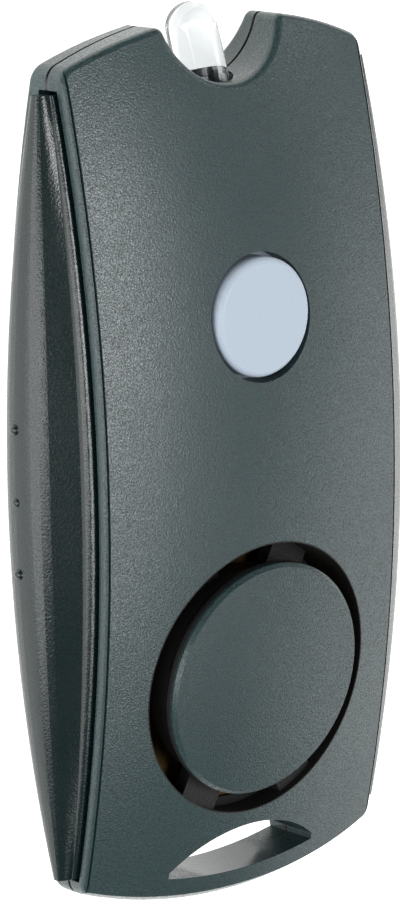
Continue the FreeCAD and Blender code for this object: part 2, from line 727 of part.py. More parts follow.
def onBack(edge):
    """Edges round the back: all their points lie well below the parting line."""
    high = max(vertex.Z for vertex in edge.Vertexes)
    inside = all(abs(vertex.Y) < dim.lampEnd.value * 2 / 3 for vertex in edge.Vertexes)
    across = abs(edge.Vertexes[0].X - edge.Vertexes[-1].X) > dim.wall.value
    return high < dim.partingHeight.value - 0.5 and not (inside and across)


backRim = fillet(back, "BackRim", backFace, edgesWhere(backFace, onBack), dim.edgeRound)
chamfer(back, "BackSeam", backRim, edgesWhere(backRim, atSeam), dim.seam)

backHollow = back.newObject("PartDesign::Boolean", "BackHollow")
backHollow.setObjects([backCore])
backHollow.Type = "Cut"
back.Tip = backHollow

# Bay walls that hold the cells, guide forks for the bars and pillars for the board
walls = newSketch(back, "BayWalls", height=dim.partingHeight)
rectangle(walls, -bayHalfX - dim.bayWall, bayHalfX + dim.bayWall,
          bayLower - dim.bayWall, bayUpper + dim.bayWall)
pad(back, "BayWallPad", walls, dim.bayTop - dim.partingHeight)
bay = newSketch(back, "BayPocket", height=dim.coverThick / 2)
rectangle(bay, -bayHalfX, bayHalfX, bayLower, bayUpper)
pocket(back, "BayCut", bay, dim.bayTop, reverse=True)
lowWall = newSketch(back, "LowWall", height=dim.bayLow)
rectangle(lowWall, -bayHalfX - dim.bayWall - 1, bayHalfX + dim.bayWall + 1,
          bayLower - dim.bayWall - 1, bayLower + 0.4)
pocket(back, "LowWallCut", lowWall, dim.bayTop - dim.bayLow + 1, reverse=True)


def backAt(y):
    """Height of the outside of the bowed back."""
    return sagitta(dim.backBow, y) - dim.backSag


for place, y, reach in (("Upper", dim.postUpper, dim.forkHalf), ("Lower", dim.postLower, -dim.forkHalf)):
    foot = backAt(y + reach) + 0.2
    forkPlan = newSketch(back, "ForkPlan" + place, height=foot)
    for side in (-1, 1):
        near = side * dim.forkInner
        far = side * (dim.forkInner + dim.forkThick)
        low, high = (near, far) if side > 0 else (far, near)
        rectangle(forkPlan, low, high, y - dim.forkHalf, y + dim.forkHalf)
    pad(back, "ForkPad" + place, forkPlan, dim.forkTop - foot)
barAxis = dim.partingHeight
forkSlots = newSketch(back, "ForkSlots", height=barAxis)
gauge = dim.postRadius + dim.runClear
for side in (-1, 1):
    for y in (dim.postUpper, dim.postLower):
        near = side * (dim.forkInner - 0.5)
        far = side * (dim.forkInner + dim.forkThick + 0.5)
        low, high = (near, far) if side > 0 else (far, near)
        rectangle(forkSlots, low, high, y - gauge, y + gauge)
pocket(back, "ForkSlotCut", forkSlots, 6, reverse=True)
for place, y in (("Upper", dim.postUpper), ("Lower", dim.postLower)):
    sketch = newSketch(back, "ForkRound" + place, "YZ_Plane")
    circle(sketch, y, barAxis, gauge)
    pocket(back, "ForkRoundCut" + place, sketch, 2 * (dim.forkInner + dim.forkThick + 0.5), symmetric=True)

for place, y in (("Lower", dim.boardLower + 6.5), ("Upper", dim.boardUpper - 9)):
    foot = backAt(y) + dim.wall / 2
    pillars = newSketch(back, "Pillars" + place, height=foot)
    for side in (-1, 1):
        circle(pillars, side * (dim.boardHalf - 2.2), y, dim.pillarRadius)
    pad(back, "PillarPad" + place, pillars, dim.boardTop - dim.boardThick - foot)

for side in (-1, 1):
    name = "Left" if side < 0 else "Right"
    sketch = newSketch(back, "BackWindow" + name, "YZ_Plane", height=side * (dim.barInner - 0.4))
    windowOutline(sketch, 0)
    pocket(back, "BackWindowCut" + name, sketch, sideCut + 1, reverse=side > 0)

cutLampSeat(back, "BackLampSeat")
slot = newSketch(back, "BackSlot", height=-1)
slotOutline(slot, 0)
pocket(back, "BackSlotCut", slot, dim.partingHeight + 2, reverse=True)

holes = newSketch(back, "BackScrewHoles", height=-1)
bossCircles(holes, dim.screwRadius + dim.screwClear)
pocket(back, "BackScrewCut", holes, dim.partingHeight + 2, reverse=True)
screwFloor = sagitta(dim.backBow, dim.screwLower) - dim.backSag + dim.screwSink
heads = newSketch(back, "BackScrewHeads", height=-1)
bossCircles(heads, dim.screwHead + dim.screwClear)
pocket(back, "BackHeadCut", heads, screwFloor + dim.screwHeadThick + 1, reverse=True)

# Recess and screw hole for the battery cover
coverRecess = newSketch(back, "CoverRecess", height=-1)
roundedRectangle(coverRecess, coverX0 - dim.coverGap, coverX1 + dim.coverGap,
                 -dim.coverWidth / 2 - dim.coverGap, dim.coverWidth / 2 + dim.coverGap,
                 dim.coverCorner + dim.coverGap)
pocket(back, "CoverRecessCut", coverRecess, dim.coverThick + 1, reverse=True)
coverHole = newSketch(back, "CoverHole", height=0)
circle(coverHole, dim.coverScrewX, 0, dim.screwRadius + dim.screwClear / 2)
pocket(back, "CoverHoleCut", coverHole, dim.coverThick + 4.2, reverse=True)

# Battery cover
cover = newBody("battery_cover")
coverPlan = newSketch(cover, "CoverPlan")
roundedRectangle(coverPlan, coverX0, coverX1, -dim.coverWidth / 2, dim.coverWidth / 2, dim.coverCorner)
pad(cover, "CoverPlate", coverPlan, dim.coverThick)
coverSink = newSketch(cover, "CoverSink")
circle(coverSink, dim.coverScrewX, 0, dim.screwHead + dim.screwClear)
pocket(cover, "CoverSinkCut", coverSink, dim.coverThick / 2, reverse=True)
coverThrough = newSketch(cover, "CoverThrough")
circle(coverThrough, dim.coverScrewX, 0, dim.screwRadius + dim.screwClear)
pocket(cover, "CoverThroughCut", coverThrough, dim.coverThick, reverse=True)
grip = newSketch(cover, "CoverGrip")
for i in range(5):
    x = coverX0 + 3.2 + 1.1 * i
    rectangle(grip, x, x + 0.5, -3.5, 3.5)
pocket(cover, "CoverGripCut", grip, 0.35, reverse=True)


# Squeeze bar: a bullet-shaped section that shrinks from mid-length to both tips
barEnd = dim.windowTip - dim.barGap


def arcSteps(x, z, radius, start, end, count):
    """A round edge in equal steps, each as three control points."""
    half = (end - start) / count / 2
    weight = math.cos(half)
    steps = []
    for i in range(count):
        first = start + 2 * half * i
        turns = [(first, radius, 1.0), (first + half, radius / weight, weight)]
        turns.append((first + 2 * half, radius, 1.0))
        steps.append([(x + r * math.cos(a), z + r * math.sin(a), w) for a, r, w in turns])
    return steps


def barSection(y):
    """Edges of the bar's section at y, as control points (x, z, weight), going round."""
    high = (windowTop(y) - dim.barGap).value
    low = (windowBottom(y) + dim.barGap).value
    nose = (dim.barReach - sagitta(dim.barBow, y)).value
    inner = dim.barInner.value
    shoulder = dim.barShoulder.value
    middle = (high + low) / 2
    half = (high - low) / 2
    radius = dim.barNose.value * half
    bead = dim.barBead.value * half + 0.15
    span = math.radians(dim.barSpan.value)
    touchX = nose - radius + radius * math.cos(span)
    touchZ = radius * math.sin(span)
    rimZ = half - bead
    reach = 0.5 * math.hypot(touchX - shoulder - bead, rimZ - touchZ)
    sideX = touchX - reach * math.sin(span)
    sideZ = touchZ + reach * math.cos(span)
    upper = [[(inner, half, 1.0), (shoulder, half, 1.0)]]
    upper += arcSteps(shoulder, rimZ, bead, math.pi / 2, 0.0, 3)
    upper.append([(shoulder + bead, rimZ, 1.0), (sideX, sideZ, 1.0), (touchX, touchZ, 1.0)])
    noseArc = arcSteps(nose - radius, 0.0, radius, span, -span, 8)
    lower = [[(x, -z, w) for x, z, w in reversed(edge)] for edge in reversed(upper)]
    innerEdge = [(inner, -half, 1.0), (inner, half, 1.0)]
    return [[(-x, z + middle, w) for x, z, w in edge] for edge in upper + noseArc + lower + [innerEdge]]


def barStrip(first, mid, last, reach):
    """Smooth strip through one edge of three sections at -reach, 0 and reach."""
    rows = []
    weights = []
    shift = dim.windowShift.value
    for a, m, b in zip(first, mid, last):
        weight = (4 * m[2] - a[2] - b[2]) / 2
        x = (4 * m[0] * m[2] - a[0] * a[2] - b[0] * b[2]) / 2 / weight
        z = (4 * m[1] * m[2] - a[1] * a[2] - b[1] * b[2]) / 2 / weight
        lower = Vector(a[0], shift - reach, a[1])
        upper = Vector(b[0], shift + reach, b[1])
        rows.append([lower, Vector(x, shift, z), upper])
        weights.append([a[2], weight, b[2]])
    count = len(first)
    surface = Part.BSplineSurface()
    surface.buildFromPolesMultsKnots(rows, [count, count], [3, 3], [0.0, 1.0], [0.0, 1.0], False, False,
                                     count - 1, 2, weights)
    return surface


def barShape():
    first, mid, last = [barSection(asSize(y)) for y in (-barEnd, 0, barEnd)]
    surfaces = [barStrip(a, m, b, barEnd.value) for a, m, b in zip(first, mid, last)]
    faces = [surface.toShape() for surface in surfaces]
    for end in (0.0, 1.0):
        edges = [surface.vIso(end).toShape() for surface in surfaces]
        faces.append(Part.Face(Part.Wire(Part.__sortEdges__(edges))))
    skin = Part.makeCompound(faces)
    skin.sewShape()
    solid = Part.Solid(skin.Shells[0])
    if solid.Volume < 0:
        solid.reverse()
    return solid


barBlank = doc.addObject("Part::Feature", "BarBlank")
barBlank.Shape = barShape()
leftBar = newBody("left_squeeze_bar")
leftBar.BaseFeature = barBlank

barMiddle = (windowTop(asSize(0)) + windowBottom(asSize(0))) / 2
for i in (-1, 0, 1):
    bump = leftBar.newObject("PartDesign::AdditiveSphere", "GripBump%d" % (i + 2))
    bump.AttachmentSupport = [(originPlane(leftBar, "XY_Plane"), "")]
    bump.MapMode = "FlatFace"
    bind(bump, "Radius", dim.bumpRadius)
    bind(bump, "AttachmentOffset.Base.x", -dim.barReach - dim.bumpProud + dim.bumpRadius)
    bind(bump, "AttachmentOffset.Base.y", dim.windowShift + i * dim.bumpPitch)
    bind(bump, "AttachmentOffset.Base.z", barMiddle)
    leftBar.Tip = bump

for place, y in (("Upper", dim.postUpper), ("Lower", dim.postLower)):
    sketch = newSketch(leftBar, "Post" + place, "YZ_Plane", height=-dim.barInner)
    circle(sketch, y, barAxis, dim.postRadius)
    reachIn = dim.barInner - dim.forkInner + dim.runClear + dim.postHeadLength
    pad(leftBar, "PostPad" + place, sketch, reachIn)
    sketch = newSketch(leftBar, "PostHead" + place, "YZ_Plane", height=-dim.forkInner + dim.runClear)
    circle(sketch, y, barAxis, dim.postHead)
    pad(leftBar, "PostHeadPad" + place, sketch, dim.postHeadLength)

rightBar = doc.addObject("Part::Mirroring", "right_squeeze_bar")
rightBar.Source = leftBar
rightBar.Normal = Vector(1, 0, 0)
rightBar.Base = Vector(0, 0, 0)
rightBar.Label = "right_squeeze_bar"

# Lamp button
button = newBody("lamp_button")
buttonZ = dim.crestHeight - sagitta(dim.bowRadius, dim.buttonY) + dim.buttonProud
capFloor = buttonZ - dim.buttonDepth
switchTop = dim.boardTop + dim.switchHeight
buttonProfile = newSketch(button, "ButtonProfile", "XZ_Plane", height=-dim.buttonY)
flangeRadius = dim.buttonHole + dim.buttonFlange
stemFloor = switchTop + dim.plungerHeight
collarFloor = dim.crestHeight - 3.2
flangeTop = collarFloor - dim.runClear
outline(buttonProfile, [
    (0, stemFloor), (dim.plungerRadius, stemFloor),
    (dim.plungerRadius, flangeTop - dim.flangeThick), (flangeRadius, flangeTop - dim.flangeThick),
    (flangeRadius, flangeTop), (dim.buttonRadius, flangeTop),
    (dim.buttonRadius, buttonZ - dim.buttonRound), (dim.buttonRadius - dim.buttonRound, buttonZ),
    (0, buttonZ),
], {6: (dim.buttonRound, -1)})
revolve(button, "ButtonTurn", buttonProfile, "V_Axis")


# Simple turned and boxed pieces from primitives
def place(feature, x=0, y=0, z=0):
    bind(feature, "Placement.Base.x", x)
    bind(feature, "Placement.Base.y", y)
    bind(feature, "Placement.Base.z", z)


def cylinder(name, radius, height, x=0, y=0, z=0):
    feature = doc.addObject("Part::Cylinder", name)
    bind(feature, "Radius", radius)
    bind(feature, "Height", height)
    place(feature, x, y, z)
    return feature


def box(name, x0, x1, y0, y1, z0, z1):
    feature = doc.addObject("Part::Box", name)
    bind(feature, "Length", asSize(x1) - x0)
    bind(feature, "Width", asSize(y1) - y0)
    bind(feature, "Height", asSize(z1) - z0)
    place(feature, x0, y0, z0)
    return feature


def cut(name, base, tool):
    feature = doc.addObject("Part::Cut", name)
    feature.Base = base
    feature.Tool = tool
    return feature


def fuse(name, shapes):
    feature = doc.addObject("Part::MultiFuse", name)
    feature.Shapes = shapes
    return feature


def group(name, shapes):
    """Separate solids that share one node."""
    feature = doc.addObject("Part::Compound", name)
    feature.Links = shapes
    return feature


# Sounder: brass plate under the ledge, ceramic disc on it, clamp ring below
plateFloor = dim.ledgeHeight - dim.plateThick
plate = cylinder("sounder_plate", dim.plateRadius, dim.plateThick, 0, dim.sirenY, plateFloor)
ceramic = cylinder("sounder_ceramic", dim.ceramicRadius, dim.ceramicThick, 0, dim.sirenY,
                   plateFloor - dim.ceramicThick)
clampFloor = plateFloor - dim.clampThick
clamp = cut("sounder_clamp_ring",
            cylinder("ClampOuter", dim.plateRadius, dim.clampThick, 0, dim.sirenY, clampFloor),
            cylinder("ClampInner", dim.plateRadius - dim.clampWidth, dim.clampThick, 0, dim.sirenY,
                     clampFloor))

# Lamp: clear moulded light with a flange, and its two leads
lamp = newBody("lamp")
lampProfile = newSketch(lamp, "LampProfile", "XZ_Plane")
outline(lampProfile, [
    (0, -dim.lampBarrel), (dim.lampFlange, -dim.lampBarrel),
    (dim.lampFlange, -dim.lampBarrel + dim.flangeHeight),
    (dim.lampRadius, -dim.lampBarrel + dim.flangeHeight), (dim.lampRadius, 0), (0, dim.lampRadius),
], {4: (dim.lampRadius, -1)})
revolve(lamp, "LampTurn", lampProfile, "V_Axis")
lamp.Placement = Placement(Vector(0, dim.lampDomeY.value, dim.lampDomeZ.value),
                           Rotation(Vector(1, 0, 0), -90 - dim.lampTilt.value))
bind(lamp, "Placement.Base.y", dim.lampDomeY)
bind(lamp, "Placement.Base.z", dim.lampDomeZ)

# Leads leave the lamp's base along its axis, then turn down into the board
leads = newBody("lamp_leads")
tilt = math.radians(dim.lampTilt.value)
baseY = dim.lampDomeY - (dim.lampBarrel + 0.08) * math.cos(tilt)
baseZ = dim.lampDomeZ + (dim.lampBarrel + 0.08) * math.sin(tilt)
kneeY = dim.boardUpper - 1.6
kneeZ = baseZ + (baseY - kneeY) * math.tan(tilt)
slim = dim.leadWidth
leadProfile = newSketch(leads, "LeadProfile", "YZ_Plane", height=dim.leadPitch / 2 - slim / 2)
outline(leadProfile, [
    (baseY, baseZ - slim / 2), (baseY, baseZ + slim / 2), (kneeY, kneeZ + slim / 2),
    (kneeY - slim, kneeZ + slim / 2), (kneeY - slim, dim.boardTop), (kneeY, dim.boardTop),
    (kneeY, kneeZ - slim / 2),
])
pad(leads, "LeadPad", leadProfile, slim)
leadTwin = doc.addObject("Part::Mirroring", "LeadTwin")
leadTwin.Source = leads
leadTwin.Normal = Vector(1, 0, 0)
lampLeads = group("lamp_leads_pair", [leads, leadTwin])

# Circuit board and its parts
board = newBody("circuit_board")
boardPlan = newSketch(board, "BoardPlan", height=dim.boardTop - dim.boardThick)
outline(boardPlan, [
    (-dim.boardHalf, dim.boardLower), (dim.boardHalf, dim.boardLower),
    (dim.boardHalf, dim.boardUpper - 5), (dim.boardHalf - 5, dim.boardUpper),
    (-dim.boardHalf + 5, dim.boardUpper), (-dim.boardHalf, dim.boardUpper - 5),
])
pad(board, "BoardPlate", boardPlan, dim.boardThick)

halfSwitch = dim.switchSize / 2
switch = cut("button_switch",
             box("SwitchCase", -halfSwitch, halfSwitch, dim.buttonY - halfSwitch, dim.buttonY + halfSwitch,
                 dim.boardTop, switchTop),
             cylinder("SwitchBore", dim.plungerRadius + dim.runClear, 1.2, 0, dim.buttonY, switchTop - 1.2))
plunger = cylinder("switch_plunger", dim.plungerRadius, dim.plungerHeight + 0.6, 0, dim.buttonY,
                   switchTop - 0.6)

coilCore = fuse("coil_core", [
    cylinder("CoilFoot", dim.coilRadius, 0.8, dim.coilX, dim.coilY, dim.boardTop),
    cylinder("CoilDrum", dim.coilRadius * 0.45, dim.coilHeight, dim.coilX, dim.coilY, dim.boardTop),
    cylinder("CoilHead", dim.coilRadius, 0.8, dim.coilX, dim.coilY, dim.boardTop + dim.coilHeight - 0.8),
])
coilWinding = cut("coil_winding",
                  cylinder("WindingOuter", dim.coilRadius - 0.3, dim.coilHeight - 1.6, dim.coilX, dim.coilY,
                           dim.boardTop + 0.8),
                  cylinder("WindingInner", dim.coilRadius * 0.45, dim.coilHeight - 1.6, dim.coilX, dim.coilY,
                           dim.boardTop + 0.8))
chip = box("driver_chip", 3.4, 7.3, 24.6, 29.5, dim.boardTop, dim.boardTop + 1.5)
transistor = box("drive_transistor", 7.0, 9.9, 19.0, 20.5, dim.boardTop, dim.boardTop + 1.1)
resistors = group("chip_resistors", [
    box("Resistor%d" % i, -10.0, -8.0, 13.4 + 2.2 * i, 14.6 + 2.2 * i, dim.boardTop, dim.boardTop + 0.5)
    for i in range(3)
])
capacitor = box("chip_capacitor", -1.0, 2.2, 27.4, 29.0, dim.boardTop, dim.boardTop + 1.3)

# Button cells in a row, with a spring at one end and a plate at the other
cellAxisZ = dim.coverThick + dim.cellClear + dim.cellRadius
stackHalf = 1.5 * dim.cellThick


def acrossCylinder(name, radius, length, x, y, z):
    feature = cylinder(name, radius, length, x, y, z)
    feature.Placement = Placement(feature.Placement.Base, Rotation(Vector(0, 1, 0), 90))
    place(feature, x, y, z)
    return feature


cellNames = ["Cell%d" % i for i in range(3)]
cells = []
for i, name in enumerate(cellNames):
    start = -stackHalf + i * dim.cellThick
    can = acrossCylinder(name + "Can", dim.cellRadius, dim.cellThick - 0.35, start + 0.35,
                         dim.cellShift, cellAxisZ)
    cap = acrossCylinder(name + "Cap", dim.cellRadius - 0.9, 0.35, start, dim.cellShift, cellAxisZ)
    cells.append(fuse(name, [can, cap]))
buttonCells = group("button_cells", cells)

halfContact = dim.contactWidth / 2
contactLow = dim.cellShift - halfContact
contactHigh = dim.cellShift + halfContact
positive = fuse("positive_contact", [
    box("PositivePlate", stackHalf, stackHalf + dim.contactThick, contactLow, contactHigh,
        dim.coverThick + 1.0, dim.bayTop + 0.6),
    box("PositiveLip", stackHalf, bayHalfX + dim.bayWall, contactLow, contactHigh,
        dim.bayTop, dim.bayTop + dim.contactThick),
])
negative = fuse("negative_contact", [
    box("NegativePlate", -bayHalfX, -bayHalfX + dim.contactThick, contactLow, contactHigh,
        dim.coverThick + 1.0, dim.bayTop + 0.6),
    box("NegativeLip", -bayHalfX - dim.bayWall, -bayHalfX, contactLow, contactHigh,
        dim.bayTop, dim.bayTop + dim.contactThick),
])


# Battery spring: a bowed strip between the negative contact and the first cell
spring = newBody("battery_spring")
springPlan = newSketch(spring, "SpringPlan", height=cellAxisZ - dim.springWidth / 2)
springFoot = dim.contactThick - bayHalfX
springBulge = bayHalfX - stackHalf - dim.contactThick - dim.springSheet
springArc = (dim.springHalf * dim.springHalf + springBulge * springBulge) / (2 * springBulge)
springLow = dim.cellShift - dim.springHalf
springHigh = dim.cellShift + dim.springHalf
outline(springPlan, [
    (springFoot, springLow), (springFoot + dim.springSheet, springLow),
    (springFoot + dim.springSheet, springHigh), (springFoot, springHigh),
], {1: (springArc, -1), 3: (springArc, 1)})
pad(spring, "SpringStrip", springPlan, dim.springWidth)


# Contact leaf that returns a bar and closes the alarm's contact
def leafOutline(sketch):
    foot = dim.leafFoot
    crest = dim.barInner - 0.05
    low = dim.leafStart
    high = dim.leafStart + dim.leafSpan
    rise = crest - foot
    half = dim.leafSpan / 2
    outerArc = (half * half + rise * rise) / (2 * rise)
    corners = [(-foot, low), (-foot, high), (-foot + dim.leafThick, high), (-foot + dim.leafThick, low)]
    outline(sketch, corners, {0: (outerArc, 1), 2: (outerArc, -1)})


leftLeaf = newBody("left_contact_leaf")
leafPlan = newSketch(leftLeaf, "LeafPlan", height=dim.boardTop - dim.boardThick - 0.4)
leafOutline(leafPlan)
pad(leftLeaf, "LeafPad", leafPlan, dim.leafHeight)
leafFeet = newSketch(leftLeaf, "LeafFeet", height=dim.boardTop)
rectangle(leafFeet, -dim.leafFoot, -dim.leafFoot + 4, dim.leafStart, dim.leafStart + 1.6)
pad(leftLeaf, "LeafFoot", leafFeet, 0.4)
rightLeaf = doc.addObject("Part::Mirroring", "right_contact_leaf")
rightLeaf.Source = leftLeaf
rightLeaf.Normal = Vector(1, 0, 0)


# Screws
def screw(name, x, y, z, length):
    shank = cylinder(name + "Shank", dim.screwRadius, length + dim.screwHeadThick, x, y, z)
    head = cylinder(name + "Head", dim.screwHead, dim.screwHeadThick, x, y, z)
    crossA = box(name + "CrossA", asSize(x) - 1.1, asSize(x) + 1.1, asSize(y) - dim.driverSlot / 2,
                 asSize(y) + dim.driverSlot / 2, z, asSize(z) + 0.6)
    crossB = box(name + "CrossB", asSize(x) - dim.driverSlot / 2, asSize(x) + dim.driverSlot / 2,
                 asSize(y) - 1.1, asSize(y) + 1.1, z, asSize(z) + 0.6)
    return cut(name, fuse(name + "Blank", [shank, head]), fuse(name + "Cross", [crossA, crossB]))


screwLength = dim.partingHeight + dim.screwGrip - screwFloor - dim.screwHeadThick
caseScrews = group("case_screws", [
    screw("CaseScrew%d" % i, side * dim.screwX, y, screwFloor, screwLength)
    for i, (side, y) in enumerate(bosses)
])
coverScrew = cut(
    "cover_screw",
    fuse("CoverScrewBlank", [
        cylinder("CoverScrewShank", dim.screwRadius, dim.coverThick + 3.6, dim.coverScrewX, 0, 0.05),
        cylinder("CoverScrewHead", dim.screwHead, dim.coverThick / 2 - 0.05, dim.coverScrewX, 0, 0.05),
    ]),
    box("CoverScrewSlot", dim.coverScrewX - 2, dim.coverScrewX + 2, -dim.driverSlot / 2, dim.driverSlot / 2,
        0, 0.35))


# Two sounder leads from the ceramic disc, past the battery bay, to the board
def lead(shift, fromX, fromY, top):
    radius = dim.wireRadius.value
    lane = -dim.wireLane.value - shift
    low = 4.2
    boardEdge = dim.boardLower.value
    points = [
        Vector(fromX, dim.sirenY.value + fromY, top.value),
        Vector(fromX, dim.sirenY.value + fromY, low),
        Vector(lane, dim.sirenY.value + 10, low),
        Vector(lane, boardEdge + 1.4 + shift, low),
        Vector(lane + 2.2 + shift, boardEdge + 1.4 + shift, low),
        Vector(lane + 2.2 + shift, boardEdge + 1.4 + shift, dim.boardTop.value - dim.boardThick.value),
    ]
    path = Part.makePolygon(points)
    edge = path.Edges[0]
    ringWire = Part.Wire(Part.Circle(points[0], edge.tangentAt(edge.FirstParameter), radius).toShape())
    return path.makePipeShell([ringWire], True, False, 1)


sounderLeads = doc.addObject("Part::Feature", "sounder_leads")
sounderLeads.Shape = Part.makeCompound([
    lead(0.0, -4.0, 0.0, plateFloor - dim.ceramicThick),
    lead(1.2, -10.9, 2.5, plateFloor),
])

# Nodes: file name and the object that holds its solid
nodes = {
    "front_shell": front,
    "back_shell": back,
    "left_squeeze_bar": leftBar,
    "right_squeeze_bar": rightBar,
    "lamp_button": button,
    "switch_plunger": plunger,
    "button_switch": switch,
    "lamp": lamp,
    "lamp_leads": lampLeads,
    "circuit_board": board,
    "sounder_plate": plate,
    "sounder_ceramic": ceramic,
    "sounder_clamp_ring": clamp,
    "sounder_leads": sounderLeads,
    "coil_core": coilCore,
    "coil_winding": coilWinding,
    "driver_chip": chip,
    "drive_transistor": transistor,
    "chip_resistors": resistors,
    "chip_capacitor": capacitor,
    "button_cells": buttonCells,
    "positive_contact": positive,
    "negative_contact": negative,
    "battery_spring": spring,
    "left_contact_leaf": leftLeaf,
    "right_contact_leaf": rightLeaf,
    "battery_cover": cover,
    "cover_screw": coverScrew,
    "case_screws": caseScrews,
}

doc.recompute()
for item in doc.Objects:
    if "Invalid" in item.State or "Error" in item.State:
        raise RuntimeError("%s could not be built: %s" % (item.Name, item.State))
for node, item in nodes.items():
    shape = item.Shape
    if shape.isNull() or not shape.isValid():
        raise RuntimeError("%s has no valid shape" % node)
    bounds = shape.BoundBox
    print("%-20s solids %2d volume %9.2f  x %6.2f %6.2f  y %6.2f %6.2f  z %6.2f %6.2f" % (
        node, len(shape.Solids), shape.Volume, bounds.XMin, bounds.XMax, bounds.YMin, bounds.YMax,
        bounds.ZMin, bounds.ZMax))
    shape.exportStep(os.path.join("parts", node + ".step"))
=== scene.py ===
import math

import bmesh
import bpy
from mathutils import Matrix, Vector


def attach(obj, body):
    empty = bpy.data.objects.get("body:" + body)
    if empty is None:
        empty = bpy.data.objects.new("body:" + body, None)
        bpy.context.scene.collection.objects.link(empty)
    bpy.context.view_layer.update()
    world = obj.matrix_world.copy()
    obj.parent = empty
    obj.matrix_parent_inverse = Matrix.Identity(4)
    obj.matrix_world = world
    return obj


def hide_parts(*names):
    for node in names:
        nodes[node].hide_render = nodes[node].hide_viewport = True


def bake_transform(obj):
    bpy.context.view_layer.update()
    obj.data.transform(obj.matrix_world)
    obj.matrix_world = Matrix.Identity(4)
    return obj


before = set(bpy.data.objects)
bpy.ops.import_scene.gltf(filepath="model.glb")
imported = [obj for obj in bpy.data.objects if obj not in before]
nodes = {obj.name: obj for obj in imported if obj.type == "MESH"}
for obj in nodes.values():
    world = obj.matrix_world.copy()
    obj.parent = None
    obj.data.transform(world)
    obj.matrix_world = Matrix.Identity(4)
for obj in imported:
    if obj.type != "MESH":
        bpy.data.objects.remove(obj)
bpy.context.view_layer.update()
mm = 0.001
print("frame loaded:", len(nodes), "nodes")


# Helpers for colours, nodes, materials and objects
def linear(hexText):  # sRGB hex to linear RGBA
    channels = [int(hexText[i:i + 2], 16) / 255 for i in (1, 3, 5)]
    return [c / 12.92 if c <= 0.04045 else ((c + 0.055) / 1.055) ** 2.4 for c in channels] + [1.0]


def feed(tree, node, inputs):  # an input takes a number, a colour or another node's socket
    for key, value in inputs.items():
        if isinstance(value, bpy.types.NodeSocket):
            tree.links.new(value, node.inputs[key])
        else:
            node.inputs[key].default_value = value


def addNode(tree, kind, inputs=None, **settings):
    node = tree.nodes.new(kind)
    for key, value in settings.items():
        setattr(node, key, value)
    feed(tree, node, inputs or {})
    return node


def newMaterial(name):
    material = bpy.data.materials.new(name)
    material.use_nodes = True
    tree = material.node_tree
    return material, tree, tree.nodes["Principled BSDF"]


def dress(material, names):  # a material for whole CAD nodes
    for name in names:
        for slot in nodes[name].material_slots:
            slot.material = material


def newObject(name, data):
    item = bpy.data.objects.new(name, data)
    bpy.context.collection.objects.link(item)
    return item


def axesAt(origin, x, y, z):  # the frame that has these three axes
    return Matrix.Translation(origin) @ Matrix((x, y, z)).transposed().to_4x4()


